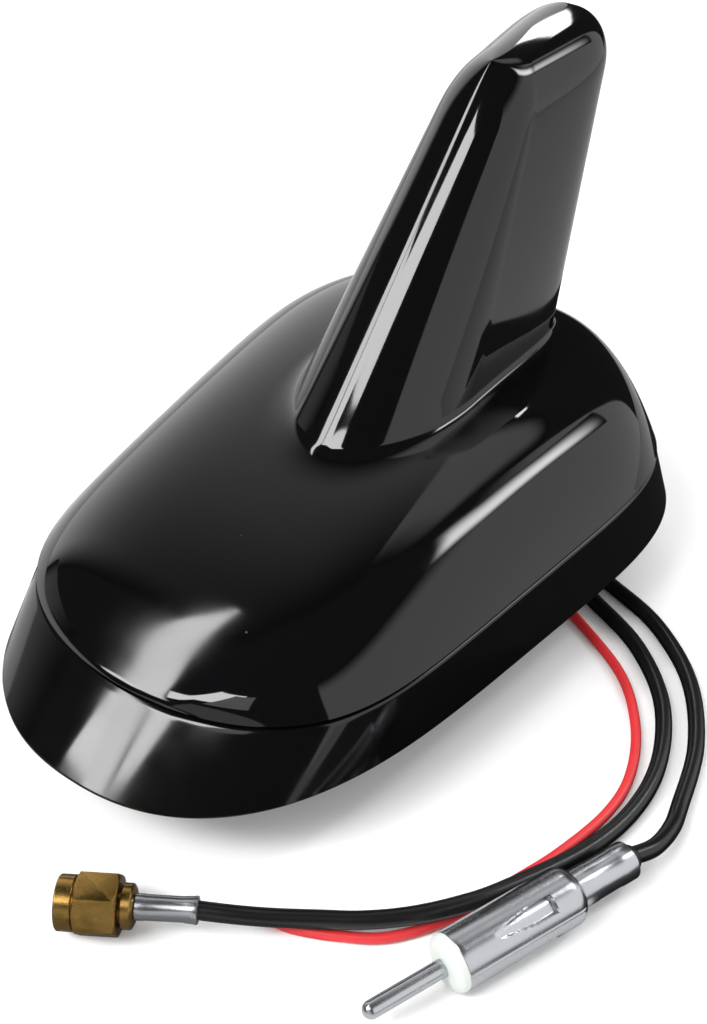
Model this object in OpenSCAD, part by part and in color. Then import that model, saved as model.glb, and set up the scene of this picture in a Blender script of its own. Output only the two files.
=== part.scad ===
// Shark fin roof aerial with two coaxial leads and a red supply lead, in mm.
// z = 0 is the surface that the roof nut stands on. The nose points to -Y.

/* [Body] */
// length of the skirt at its rim
body_l = 120; // [108:1:132]
// half width of the skirt at its rim, at mid length
body_hw = 38.6; // [35:0.5:43]
// how much wider the tail is than the nose, as a share of the half width
body_taper = 0.191; // [0.05:0.001:0.25]
// height of the rim over the surface
rim_z = 12.3; // [11.5:0.1:14]
// height of the seam over the rim, at the nose
seam_nose_h = 9.2; // [8:0.1:11]
// height of the seam over the rim, at the tail
seam_tail_h = 11.7; // [10:0.1:13]
// how far the seam stands in from the rim at the nose
seam_nose_in = 11.5; // [9:0.5:14]
// how far the seam stands in from the rim at the tail
seam_tail_in = 3.8; // [3:0.2:7]
// how far the seam stands in from the rim at the sides
seam_side_in = 2.1; // [1.2:0.1:3]
// height of the dome over the rim
dome_h = 25.2; // [22:0.1:28]
// wall of the moulded housing
shell_wall = 2.2; // [1.8:0.1:2.8]
// wall of the skirt ring at the seam
skirt_wall = 2.2; // [1.8:0.1:2.8]
// height of the shadow gap over the skirt
gap_h = 0.7; // [0.4:0.1:1.2]
// depth of the shadow gap over the skirt
gap_d = 0.8; // [0.4:0.1:1.2]
// height of the housing's spigot inside the skirt
spigot_h = 3; // [2:0.5:4]

/* [Fin] */
// half width of the fin at its foot
fin_foot_hw = 14; // [11:0.1:16]
// half width of the fin at its neck
fin_neck_hw = 8; // [5:0.1:9]
// height of the front of the fin's neck over the rim
fin_neck_h = 61; // [50:0.1:70]
// length of the fin's neck from front to back
fin_neck_l = 32.2; // [28:0.2:40]
// height of the rounded head over the neck
fin_head_h = 8; // [5:0.2:10]
// how far the fin reaches past the skirt's tail
fin_reach = 6.6; // [4:0.2:10]
// radius where the fin meets the dome
fin_fillet = 2.4; // [1.5:0.1:4]

/* [Base] */
// thickness of the cast base plate
plate_t = 2.5; // [2:0.1:3.5]
// height of the base plate's underside over the rim
plate_up = 1.2; // [0.8:0.1:2]
// thickness of the rubber gasket
gasket_t = 2; // [1.5:0.1:3]
// thread diameter of the hollow roof stud
stud_d = 14; // [12:1:16]
// bore of the roof stud that the leads pass through
stud_bore_d = 9.2; // [8.6:0.1:9.8]
// width of the stud's side slot
slot_w = 7.6; // [7.4:0.1:8.2]
// flange diameter of the roof stud
stud_flange_d = 20; // [18:1:24]
// thickness of the roof stud's flange
stud_flange_t = 1.4; // [1:0.1:1.8]
// roof nut across flats
nut_af = 22; // [19:1:24]
// roof nut thickness
nut_t = 5; // [4:0.2:6]
// claw washer diameter
claw_d = 27; // [24:1:30]
// claw washer thickness
claw_t = 1.5; // [1.2:0.1:1.8]
// height of the washer's claws
claw_h = 1.3; // [0.8:0.1:1.6]
// shank diameter of the housing screws
case_screw_d = 2.8; // [2.4:0.1:3]
// head diameter of the housing screws
case_head_d = 5.2; // [4.6:0.1:5.6]
// head height of the housing screws
case_head_h = 1.6; // [1.2:0.1:1.8]
// shank diameter of the board screws
board_screw_d = 2; // [1.6:0.1:2.4]
// head diameter of the board screws
board_head_d = 3.8; // [3.4:0.1:4.4]
// head height of the board screws
board_head_h = 1.3; // [1:0.1:1.6]

/* [Inside] */
// height of the posts that carry the circuit board
post_h = 2.5; // [2:0.1:3.2]
// thickness of the circuit board
board_t = 1.6; // [1.2:0.1:2]
// side of the square ceramic patch
patch_side = 25; // [20:1:26]
// thickness of the ceramic patch
patch_t = 4; // [3:0.5:5]
// side of the silvered face on the patch
patch_face = 20.6; // [16:0.2:21]
// side length of the shield can across the board
can_w = 26; // [22:1:30]
// side length of the shield can along the board
can_l = 18; // [14:1:20]
// height of the shield can
can_h = 4; // [3:0.5:5]
// thickness of the upright board in the fin
fin_board_t = 1.2; // [1:0.1:1.6]
// thickness of the copper track on the upright board
track_t = 0.2; // [0.15:0.05:0.3]
// width of the copper track
track_w = 1.4; // [1:0.1:2]

/* [Leads] */
// diameter of the two coaxial leads
coax_d = 2.6; // [2.4:0.1:2.8]
// diameter of the red lead
wire_d = 1.6; // [1.4:0.1:1.8]
// diameter of the tinned end of the red lead
wire_core_d = 0.9; // [0.7:0.1:1.1]

/* [Small plug] */
// coupling nut across flats
hex_af = 8; // [7.6:0.1:8.4]
// length of the hexagon
hex_l = 6.3; // [5.6:0.1:7]
// diameter of the round ring before the hexagon
ring_d = 7.6; // [7.2:0.1:7.8]
// length of the round ring before the hexagon
ring_l = 2.2; // [1.8:0.1:2.6]
// inside diameter of the nut's thread
nut_thread_d = 6.2; // [6:0.05:6.35]
// radial running clearance of the nut on the body
run_c = 0.05; // [0.03:0.01:0.09]
// end play of the nut
nut_play = 0.3; // [0.3:0.05:0.5]
// neck diameter that the nut turns on
neck_d = 4.8; // [4.6:0.1:5]
// collar diameter behind the nut
collar_d = 6.2; // [5.8:0.1:6.6]
// collar length behind the nut
collar_l = 1.6; // [1.2:0.1:2]
// diameter of the plug's insulator
ptfe_d = 4.1; // [3.8:0.1:4.2]
// diameter of the plug's centre pin
sma_pin_d = 0.92; // [0.86:0.02:1]
// diameter of the crimped ferrule
ferrule_d = 3.6; // [3.3:0.1:3.9]
// length of the crimped ferrule
ferrule_l = 8.6; // [7.6:0.2:9.6]

/* [Long plug] */
// diameter of the centre pin
din_pin_d = 2.5; // [2.2:0.1:2.8]
// free length of the centre pin
din_pin_l = 12.4; // [11:0.2:13.4]
// diameter of the rolled barrel
barrel_d = 8.4; // [8:0.1:9]
// sheet thickness of the barrel
barrel_t = 0.5; // [0.4:0.05:0.7]
// length of the white insulator in front of the barrel
front_l = 1.6; // [1.2:0.1:2]
// length of the barrel
barrel_l = 20.4; // [18:0.2:22]
// diameter of the crimped sleeve
sleeve_d = 5.6; // [5:0.1:6]
// length of the crimped sleeve
sleeve_l = 9.6; // [8.6:0.2:10.6]
// diameter of the black bush at the sleeve's end
bush_d = 3.8; // [3.4:0.1:4.2]
// length of the black bush past the sleeve
bush_l = 1.2; // [0.8:0.1:1.6]

/* [Hidden] */
$fn = 48;

// points round the body and round the fin, both a multiple of four
nb = 56;
nf = 40;
// the row's origin is the middle of the whole length, fin included
yo = -fin_reach / 2;
seam_l = body_l - seam_nose_in - seam_tail_in;
seam_cy = yo + (seam_nose_in - seam_tail_in) / 2;

function sp(v, e) = sign(v) * pow(abs(v), e);
function norm1(v) = v / norm(v);

// seam plane, rising from nose to tail
function seam_z(y) = rim_z + seam_nose_h
  + (seam_tail_h - seam_nose_h) * ((y - seam_cy) / seam_l + 0.5);

// rounded share of a half width at share q of a half length: nose and tail squareness in e
function bulge(q, e) = let (s = q < 0 ? 0 : 2) pow(max(1 - pow(abs(q), e[s + 1]), 0), 1 / e[s]);
// outline round the body: half width, length, middle, taper, squareness
function outl(w, l, cy, k, e) = [for (i = [0 : nb - 1]) let (a = 360 * i / nb, q = sin(a))
  [w * sign(cos(a)) * bulge(q, e) * (1 + k * q), cy + l / 2 * q]];

rim_e = [2.26, 3.78, 2.37, 4.33];
seam_e = [1.95, 5.44, 2, 4.94];
seam_taper = 0.159;
function rim_o(d) = outl(body_hw - d, body_l - 2 * d, yo, body_taper, rim_e);
function seam_o(d) = outl(body_hw - seam_side_in - d, seam_l - 2 * d, seam_cy, seam_taper, seam_e);
function at_z(o, z) = [for (p = o) [p[0], p[1], z]];
function at_seam(o, dz) = [for (p = o) [p[0], p[1], seam_z(p[1]) + dz]];

// dome over the seam, its outline drawn in by d and its crown lowered by e
crown_y = yo + body_l * 0.283;
crown_e = [1.4, 1.8, 2.54, 9];
side_m = 5.45;
side_p = 1.04;
function dome_z(x, y, d, e) = let (l = seam_l / 2 - d, q = (y - seam_cy) / l,
  w = (body_hw - seam_side_in - d) * bulge(q, seam_e) * (1 + seam_taper * q),
  v = (y - crown_y) / (y < crown_y ? crown_y - seam_cy + l : seam_cy + l - crown_y),
  z0 = seam_z(y) + gap_h)
  z0 + (rim_z + dome_h - e - z0) * bulge(v, crown_e)
    * pow(max(1 - pow(min(abs(x) / (w + 0.001), 1), side_m), 0), side_p);
function dome_ring(h, d, e) = [for (p = seam_o(d)) let (x = p[0] * h, y = crown_y + (p[1] - crown_y) * h)
  [x, y, dome_z(x, y, d, e)]];

// fin section between a front and a back point in the middle plane
function fin_sec(a, b, w, k, m) = [for (i = [0 : nf - 1])
  let (t = 360 * i / nf, s = sin(t), n = s < 0 ? 1.97 : 5.44, q = sp(s, 2 / n), v = m + q * (q < 0 ? m : 1 - m))
  [w * sp(cos(t), 2 / n) * (1 + k * max(q, 0)), a[0] + (b[0] - a[0]) * v, a[1] + (b[1] - a[1]) * v]];
fin_back_y = yo + body_l / 2 + fin_reach;
foot_f = [yo - 2.4, rim_z + dome_h - 1.2];
foot_b = [yo + body_l / 2 - 11.7, rim_z + dome_h - 0.9];
neck_b = [fin_back_y - 1.45, rim_z + fin_neck_h + 2.2];
neck_f = [neck_b[0] - fin_neck_l, rim_z + fin_neck_h];
fin_rise = fin_neck_h - dome_h + 1.2;
neck_m = 0.28;
function neck_sec(e) = fin_sec(neck_f - [e, 0], neck_b + [e, 0], fin_neck_hw + e, 0.27, neck_m);
foot_ring = fin_sec(foot_f, foot_b, fin_foot_hw, 0.07, 0.43);
neck_ring = neck_sec(0);
fin_out = [for (i = [0 : nf - 1]) let (a = foot_ring[(i + 1) % nf], b = foot_ring[(i + nf - 1) % nf])
  norm1([a[1] - b[1], b[0] - a[0], 0])];
// point i of the fin's wall at share s of the way from foot to neck, grown by e
function fin_pt(i, s, e) = foot_ring[i] + (neck_ring[i] - foot_ring[i]) * s + e * fin_out[i];
function fin_level(s, e) = [for (i = [0 : nf - 1]) fin_pt(i, s, e)];
// share at which the wall meets the dome, found in n steps
function foot_s(i, s, n) = n == 0 ? s : let (p = fin_pt(i, s, 0))
  foot_s(i, s + (dome_z(p[0], p[1], 0, 0) - p[2]) / fin_rise, n - 1);
fin_s = [for (i = [0 : nf - 1]) foot_s(i, 0, 4)];
function fin_ring(h, e) = [for (i = [0 : nf - 1]) fin_pt(i, fin_s[i] + h / fin_rise, e)];
function flare(h) = fin_fillet - sqrt(pow(fin_fillet, 2) - pow(fin_fillet - h, 2));
// rounded head: the walls bend over into a ridge between two points
function fin_cap(t, e) = let (o = neck_sec(e), r = fin_head_h + e, d = norm1(neck_b - neck_f),
  n = [-d[1], d[0]], g = norm1(neck_f - foot_f),
  a = neck_f - [e, 0] + ((g * d) / (g * n) * r + 0.9) * d + r * n, b = neck_b + [e, 0] - 0.3 * d + r * n)
  [for (i = [0 : nf - 1]) let (w = norm1(neck_ring[i] - foot_ring[i]),
    v = (o[i][1] - o[nf * 3 / 4][1]) / (o[nf / 4][1] - o[nf * 3 / 4][1]),
    top = [0, a[0] + (b[0] - a[0]) * v, a[1] + (b[1] - a[1]) * v],
    c = top - w * r / (w[1] * n[0] + w[2] * n[1]))
    c + (o[i] - c) * pow(cos(t), 2 / 2.24) + (top - c) * pow(sin(t), 2 / 2.24)];

// closed skin through rings that run from the lowest to the highest
module loft(rings) {
  n = len(rings[0]);
  m = len(rings);
  lo = [for (k = [0 : 2]) [for (p = rings[0]) p[k]] * [for (i = [1 : n]) 1] / n];
  hi = [for (k = [0 : 2]) [for (p = rings[m - 1]) p[k]] * [for (i = [1 : n]) 1] / n];
  pts = concat([for (r = rings) for (p = r) p], [lo, hi]);
  sides = [for (i = [0 : m - 2]) for (j = [0 : n - 1]) for (q = [0 : 1])
    let (a = i * n + j, b = i * n + (j + 1) % n) q == 0 ? [a, a + n, b + n] : [a, b + n, b]];
  floor_f = [for (j = [0 : n - 1]) [m * n, j, (j + 1) % n]];
  roof_f = [for (j = [0 : n - 1]) [m * n + 1, (m - 1) * n + (j + 1) % n, (m - 1) * n + j]];
  polyhedron(points = pts, faces = concat(sides, floor_f, roof_f), convexity = 8);
}

// places inside the body
plate_z = rim_z + plate_up;
plate_top = plate_z + plate_t;
board_z = plate_top + post_h;
board_top = board_z + board_t;
gasket_z = plate_z - gasket_t;
stud_y = 12.4;
lead_az = 45;
function plate_o(d) = outl(body_hw - 3.2 - d, body_l - 10.6 - 2 * d, yo + 1.7, 0.18, rim_e);
boss_f = [body_hw - 14.5, yo - body_l / 2 + 34];
boss_b = [body_hw - 11, yo + body_l / 2 - 24];
post_f = [body_hw - 18, yo - body_l / 2 + 50];
post_b = [body_hw - 18, yo + body_l / 2 - 20];
function pair(p) = [[-p[0], p[1]], p];
boss_at = concat(pair(boss_f), pair(boss_b));
post_at = concat(pair(post_f), pair(post_b));
patch_y = yo - body_l / 2 + 36;
can_y = yo + 5;
boss_r = case_screw_d / 2 + 1.8;
post_r = board_screw_d / 2 + 1.5;
case_l = 12;
nut_r = nut_af / 2 / cos(30);

module at_each(list) {
  for (p = list) translate([p[0], p[1], 0]) children();
}

module housing() {
  color([0.02, 0.02, 0.025]) difference() {
    union() {
      loft(concat([at_seam(seam_o(skirt_wall + 0.15), -spigot_h),
        at_seam(seam_o(skirt_wall + 0.15), 0), at_seam(seam_o(gap_d), 0),
        at_seam(seam_o(gap_d), gap_h)],
        [for (h = [1, 0.992, 0.975, 0.945, 0.9, 0.84, 0.76, 0.66, 0.54, 0.4, 0.25, 0.1]) dome_ring(h, 0, 0)]));
      loft(concat([fin_ring(-4, fin_fillet), fin_ring(0, fin_fillet)],
        [for (h = [0.12, 0.3, 0.6, 1]) fin_ring(h * fin_fillet, flare(h * fin_fillet))],
        [neck_ring], [for (t = [8, 18, 29, 41, 54, 67, 78, 85]) fin_cap(t, 0)]));
    }
    difference() {
      union() {
        loft(concat([at_seam(seam_o(skirt_wall + 2), -spigot_h - 1),
          at_seam(seam_o(skirt_wall + 2), -0.2)],
          [for (h = [0.985, 0.94, 0.86, 0.74, 0.58, 0.4, 0.2]) dome_ring(h, skirt_wall + 2, shell_wall)]));
        loft(concat([fin_level(-0.3, -shell_wall), fin_level(0.97, -shell_wall)],
          [for (t = [20, 45, 70]) fin_cap(t, -shell_wall)]));
      }
      at_each(boss_at) cylinder(r = boss_r, h = rim_z + dome_h);
    }
    at_each(boss_at) translate([0, 0, plate_top - 1]) cylinder(r = case_screw_d / 2, h = 11);
    translate([0, 0, -1]) linear_extrude(plate_top + 1) square(200, center = true);
  }
}

module skirt_ring() {
  color([0.02, 0.02, 0.025]) difference() {
    loft([at_z(rim_o(0.5), rim_z), at_z(rim_o(0), rim_z + 0.6), at_seam(seam_o(0.3), -0.6),
      at_seam(seam_o(0.7), 0)]);
    translate([0, 0, rim_z - 1]) linear_extrude(plate_top - rim_z + 1) polygon(plate_o(-0.15));
    linear_extrude(60) polygon(seam_o(skirt_wall + 3));
    loft([at_seam(seam_o(skirt_wall), -spigot_h - 0.3), at_seam(seam_o(skirt_wall), 5)]);
  }
}

module base_plate() {
  color([0.62, 0.63, 0.65]) difference() {
    union() {
      translate([0, 0, plate_z]) linear_extrude(plate_t) polygon(plate_o(0));
      at_each(post_at) translate([0, 0, plate_z]) cylinder(r = post_r, h = plate_t + post_h);
    }
    translate([0, stud_y, plate_z - 1]) cylinder(d = stud_d, h = plate_t + 2);
    at_each(boss_at) translate([0, 0, plate_z - 1]) cylinder(d = case_screw_d + 0.4, h = plate_t + 2);
    at_each(post_at) translate([0, 0, plate_z + 0.8]) cylinder(d = board_screw_d, h = 9);
  }
}

module base_gasket() {
  color([0.09, 0.09, 0.09]) translate([0, 0, gasket_z]) linear_extrude(gasket_t) difference() {
    polygon(plate_o(0.3));
    translate([0, stud_y]) circle(d = stud_d);
    at_each(boss_at) circle(d = case_head_d + 0.6);
  }
}

module roof_stud() {
  color([0.7, 0.7, 0.72]) translate([0, stud_y, 0]) difference() {
    union() {
      cylinder(d = stud_d, h = plate_top);
      translate([0, 0, plate_top]) cylinder(d = stud_flange_d, h = stud_flange_t);
    }
    translate([0, 0, -1]) cylinder(d = stud_bore_d, h = 30);
    rotate([0, 0, lead_az]) translate([0, -slot_w / 2, -1]) cube([20, slot_w, gasket_z + 2]);
  }
}

module claw_washer() {
  color([0.66, 0.66, 0.68]) translate([0, stud_y, nut_t]) {
    difference() {
      cylinder(d = claw_d, h = claw_t);
      translate([0, 0, -1]) cylinder(d = stud_d, h = claw_t + 2);
    }
    for (a = [lead_az + 60 : 60 : lead_az + 300]) rotate([0, 0, a])
      translate([claw_d / 2 - 1.2, 0, claw_t]) rotate([90, 0, 0])
        linear_extrude(2.4, center = true) polygon([[-1, -0.3], [1.1, -0.3], [1.1, claw_h], [-1, 0.2]]);
  }
}

module roof_nut() {
  color([0.72, 0.72, 0.74]) translate([0, stud_y, 0]) difference() {
    intersection() {
      rotate([0, 0, 30]) cylinder(r = nut_r, h = nut_t, $fn = 6);
      union() {
        cylinder(r1 = nut_af / 2, r2 = nut_r, h = 0.9);
        translate([0, 0, 0.9]) cylinder(r = nut_r + 0.1, h = nut_t);
      }
    }
    translate([0, 0, -1]) cylinder(d = stud_d, h = nut_t + 2);
  }
}

module case_screws() {
  color([0.6, 0.6, 0.62]) at_each(boss_at) {
    translate([0, 0, plate_z - case_head_h]) difference() {
      cylinder(d = case_head_d, h = case_head_h);
      for (a = [0, 90]) rotate([0, 0, a])
        translate([-case_head_d / 3, -0.35, -1]) cube([case_head_d * 2 / 3, 0.7, 1.8]);
    }
    translate([0, 0, plate_z]) cylinder(d = case_screw_d, h = case_l - 3);
  }
}

module circuit_board() {
  color([0.05, 0.25, 0.12]) translate([0, 0, board_z]) linear_extrude(board_t) difference() {
    polygon(outl(body_hw - 12, seam_l - 16, seam_cy, 0.13, [2.2, 4.5, 2.2, 4.5]));
    at_each(boss_at) circle(r = boss_r + 0.6);
    at_each(post_at) circle(d = board_screw_d);
  }
}

module board_screws() {
  color([0.6, 0.6, 0.62]) at_each(post_at) {
    translate([0, 0, board_top]) difference() {
      cylinder(d = board_head_d, h = board_head_h);
      translate([-board_head_d / 3, -0.25, board_head_h - 0.6]) cube([board_head_d * 2 / 3, 0.5, 2]);
    }
    translate([0, 0, board_top - 4.4]) cylinder(d = board_screw_d, h = 4.4);
  }
}

module gps_patch() {
  color([0.78, 0.72, 0.6]) translate([-patch_side / 2, patch_y - patch_side / 2, board_top])
    cube([patch_side, patch_side, patch_t]);
}

module patch_face() {
  color([0.85, 0.85, 0.86]) translate([0, patch_y, board_top + patch_t]) {
    linear_extrude(0.2) difference() {
      square(patch_face, center = true);
      for (a = [0, 180]) rotate(a) translate([patch_face / 2, patch_face / 2]) rotate(45)
        square(3, center = true);
    }
    translate([2, 0, 0.2]) cylinder(d1 = 2.2, d2 = 1, h = 0.6);
  }
}

module shield_can() {
  color([0.75, 0.75, 0.73]) translate([0, can_y, board_top]) difference() {
    translate([-can_w / 2, -can_l / 2, 0]) cube([can_w, can_l, can_h]);
    translate([-can_w / 2 + 0.4, -can_l / 2 + 0.4, -1]) cube([can_w - 0.8, can_l - 0.8, can_h + 0.6]);
    for (x = [-8, 0, 8]) translate([x, 0, can_h - 1]) cylinder(d = 2, h = 2);
  }
}

// upright board: a socket on the main board holds its foot
sock_y = yo + body_l / 2 - 24;
sock_l = 22;
sock_w = 5.2;
sock_h = 5;
foot_l = 18;
module fin_socket() {
  color([0.1, 0.1, 0.1]) translate([0, sock_y, board_top]) difference() {
    translate([-sock_w / 2, -sock_l / 2, 0]) cube([sock_w, sock_l, sock_h]);
    translate([-fin_board_t / 2, -foot_l / 2, 1]) cube([fin_board_t, foot_l, 9]);
  }
}

fin_board_top = rim_z + fin_neck_h - 6;
fin_board_pts = [[sock_y - foot_l / 2, board_top + 1], [sock_y + foot_l / 2, board_top + 1],
  [sock_y + foot_l / 2, rim_z + dome_h + 1], [neck_b[0] - 9, fin_board_top],
  [neck_f[0] + 2, fin_board_top], [sock_y - foot_l / 2 - 7, rim_z + dome_h + 8],
  [sock_y - foot_l / 2, rim_z + dome_h + 3]];
module fin_board() {
  color([0.08, 0.3, 0.16]) translate([-fin_board_t / 2, 0, 0]) rotate([90, 0, 90])
    linear_extrude(fin_board_t) polygon(fin_board_pts);
}

// copper track that climbs the upright board in level rows
track_rows = 6;
track_in = 1.5;
track_z = rim_z + dome_h + 8.8;
track_step = (fin_board_top - 3.5 - track_z) / (track_rows - 1);
function on_line(p, q, z) = p[0] + (q[0] - p[0]) * (z - p[1]) / (q[1] - p[1]);
function row_z(i) = track_z + i * track_step;
function row_f(i) = on_line(fin_board_pts[5], fin_board_pts[4], row_z(i)) + track_in;
function row_b(i) = on_line(fin_board_pts[2], fin_board_pts[3], row_z(i)) - track_in;
module fin_track() {
  color([0.72, 0.42, 0.2]) translate([fin_board_t / 2, 0, 0]) rotate([90, 0, 90])
    linear_extrude(track_t) union() {
      for (i = [0 : track_rows - 1]) translate([row_f(i), row_z(i)]) square([row_b(i) - row_f(i), track_w]);
      for (i = [0 : track_rows - 2]) translate([i % 2 == 0 ? row_b(i) - track_w : row_f(i + 1), row_z(i)])
        square([track_w, track_step + track_w]);
      translate([sock_y - 4, board_top + 5.2]) square([track_w, track_z - board_top - 4.2]);
    }
}

// leads
function dir(a) = [cos(a), sin(a), 0];
// smooth line through route points, n steps between each two
function cr(a, b, c, d, t) = 0.5 * (2 * b + (c - a) * t + (2 * a - 5 * b + 4 * c - d) * t * t
  + (3 * b - a - 3 * c + d) * t * t * t);
function line(p, n) = let (m = len(p)) concat([for (i = [0 : m - 2]) for (j = [0 : n[i] - 1])
  cr(p[max(i - 1, 0)], p[i], p[i + 1], p[min(i + 2, m - 1)], j / n[i])], [p[m - 1]]);
// start of a lead: down the stud's bore, bent out over its slot, o to the side
bend_r = 6.4;
lead_z = 8.2;
function lead_in(o) = let (c = [0, stud_y, lead_z], u = dir(lead_az), e = dir(lead_az + 90) * o, r = bend_r)
  concat([c + e - 2 * u + [0, 0, board_z - lead_z], c + e - 2 * u + [0, 0, r + 2.3]],
    [for (a = [0 : 22.5 : 90]) c + e + (r * (1 - cos(a)) - 2) * u + [0, 0, r * (1 - sin(a))]],
    [c + e + (r + 0.6) * u]);
side_ref = dir(lead_az + 90);
function side_of(t) = norm([t[0], t[1]]) > 0.05 * norm(t) ? norm1([-t[1], t[0], 0]) : side_ref;
module lead(p, d, t0, t1) {
  n = len(p);
  loft([for (i = [0 : n - 1])
    let (t = norm1(i == 0 ? t0 : i == n - 1 ? t1 : p[i + 1] - p[i - 1]), s = side_of(t), w = cross(t, s))
    [for (k = [0 : 7]) p[i] + d / 2 * (cos(45 * k) * s + sin(45 * k) * w)]]);
}

// plug axes: where the tip is, and which way the lead leaves
sma_tip = [8.4, -74.8, hex_af / 2 / cos(30)];
sma_az = 32.5;
din_tip = [51.2, -63.8, barrel_d / 2];
din_az = 69.5;
sma_len = ring_l + hex_l + nut_play + collar_l + ferrule_l;
din_len = din_pin_l + front_l + barrel_l + sleeve_l + bush_l;
sma_end = sma_tip + sma_len * dir(sma_az);
din_end = din_tip + din_len * dir(din_az);

cz = coax_d / 2;
wz = wire_d / 2;
over_z = wire_d + cz + 0.1;
sma_route = concat(lead_in(-0.6), [[11.5, 21.4, 7.9], [20, 25, 4.6], [30, 25.4, cz + 0.3], [36, 23.4, cz],
  [46.5, 18.2, cz], [55.4, 9.8, cz], [60.8, -1, cz], [62.3, -11.6, cz], [60.4, -22.8, 1.6],
  [54.9, -36.3, 2.7], [51.2, -42.5, over_z], [47, -47.6, over_z], [42.3, -51.9, over_z],
  [37.7, -55.2, 3.1], [32.6, -59, 3.5], [28.4, -62.1, 4.2], sma_end]);
sma_steps = [1, 1, 1, 1, 1, 1, 1, 1, 1, 1, 1, 2, 1, 2, 1, 2, 2, 1, 1, 1, 1, 1, 1, 1];
din_route = concat(lead_in(2.2), [[9.5, 24, 7.9], [18.5, 28.8, 4.6], [28.5, 30.4, cz + 0.3],
  [37, 28.4, cz], [47, 24.4, cz], [57, 16.2, cz], [64, 4.6, cz], [67.6, -8.2, 1.8],
  [68.6, -13.2, 2.6], [68.5, -18, 3.6], din_end]);
din_steps = [1, 1, 1, 1, 1, 1, 1, 1, 1, 1, 1, 2, 2, 2, 2, 1, 1, 1];
red_route = concat(lead_in(-2.9), [[13, 19.6, 7.9], [20.5, 22, 4.4], [28, 21.2, wz + 0.4],
  [35, 18.6, wz], [47.2, 11.6, wz], [54.6, 3, wz], [58.6, -6.2, wz], [59.3, -14.6, wz],
  [57.4, -24.6, wz], [54.8, -32.6, wz], [51, -43, wz], [46, -50.6, wz], [40.4, -54.5, wz],
  [34.8, -57.2, wz], [31.4, -57.9, wz]]);
red_steps = [1, 1, 1, 1, 1, 1, 1, 1, 1, 1, 1, 2, 2, 1, 1, 1, 1, 2, 2, 1, 1, 1];
red_far = [28.6, -59, wz];

module coax_sma() {
  color([0.03, 0.03, 0.03]) lead(line(sma_route, sma_steps), coax_d, [0, 0, -1], -dir(sma_az));
}
module coax_din() {
  color([0.03, 0.03, 0.03]) lead(line(din_route, din_steps), coax_d, [0, 0, -1], -dir(din_az));
}
module red_wire() {
  p = red_route[len(red_route) - 1];
  color([0.85, 0.1, 0.12]) lead(line(red_route, red_steps), wire_d, [0, 0, -1], red_far - p);
}
module red_wire_end() {
  p = red_route[len(red_route) - 1];
  color([0.75, 0.75, 0.76]) translate(p) rotate([0, 0, atan2(red_far[1] - p[1], red_far[0] - p[0])])
    rotate([0, 90, 0]) cylinder(d = wire_core_d, h = norm(red_far - p), $fn = 16);
}

// small plug, drawn along +X from its tip
module on_sma() {
  translate(sma_tip) rotate([0, 0, sma_az]) children();
}
module rod(x, d, l) {
  translate([x, 0, 0]) rotate([0, 90, 0]) cylinder(d = d, h = l);
}
shoulder_x = ring_l + hex_l - 2;
body_x = ring_l + hex_l + nut_play;
module sma_nut() {
  color([0.72, 0.55, 0.25]) on_sma() difference() {
    union() {
      rod(0, ring_d, ring_l);
      intersection() {
        translate([ring_l, 0, 0]) rotate([0, 90, 0]) cylinder(r = hex_af / 2 / cos(30), h = hex_l, $fn = 6);
        translate([ring_l, 0, 0]) rotate([0, 90, 0]) union() {
          cylinder(d1 = hex_af - 0.2, d2 = hex_af + 2, h = 0.9);
          translate([0, 0, 0.9]) cylinder(d = hex_af + 2, h = hex_l - 1.8);
          translate([0, 0, hex_l - 0.9]) cylinder(d1 = hex_af + 2, d2 = hex_af - 0.2, h = 0.9);
        }
      }
    }
    rod(-1, nut_thread_d, shoulder_x + 1);
    rod(-1, neck_d + 2 * run_c, 20);
  }
}
module sma_body() {
  color([0.76, 0.58, 0.28]) on_sma() difference() {
    union() {
      rod(0.8, ptfe_d + 0.5, shoulder_x - 0.9);
      rod(shoulder_x - 1.5, nut_thread_d - 0.6, 1.2);
      rod(shoulder_x - 1, neck_d, body_x - shoulder_x + 1);
      rod(body_x, collar_d, collar_l);
    }
    rod(0, ptfe_d, body_x + 0.4);
  }
}
module sma_insulator() {
  color([0.95, 0.95, 0.93]) on_sma() difference() {
    rod(2.6, ptfe_d, body_x + 0.4 - 2.6);
    rod(0, sma_pin_d, body_x - 1);
  }
}
module sma_pin() {
  color([0.85, 0.66, 0.3]) on_sma() {
    rod(1.3, sma_pin_d, body_x - 1 - 1.3);
    translate([0.7, 0, 0]) rotate([0, 90, 0]) cylinder(d1 = 0.4, d2 = sma_pin_d, h = 0.6);
  }
}
module sma_ferrule() {
  color([0.8, 0.8, 0.8]) on_sma() {
    rod(body_x + collar_l, ferrule_d, ferrule_l - 0.8);
    translate([sma_len - 0.8, 0, 0]) rotate([0, 90, 0]) cylinder(d1 = ferrule_d, d2 = ferrule_d + 0.3, h = 0.8);
  }
}

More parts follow.
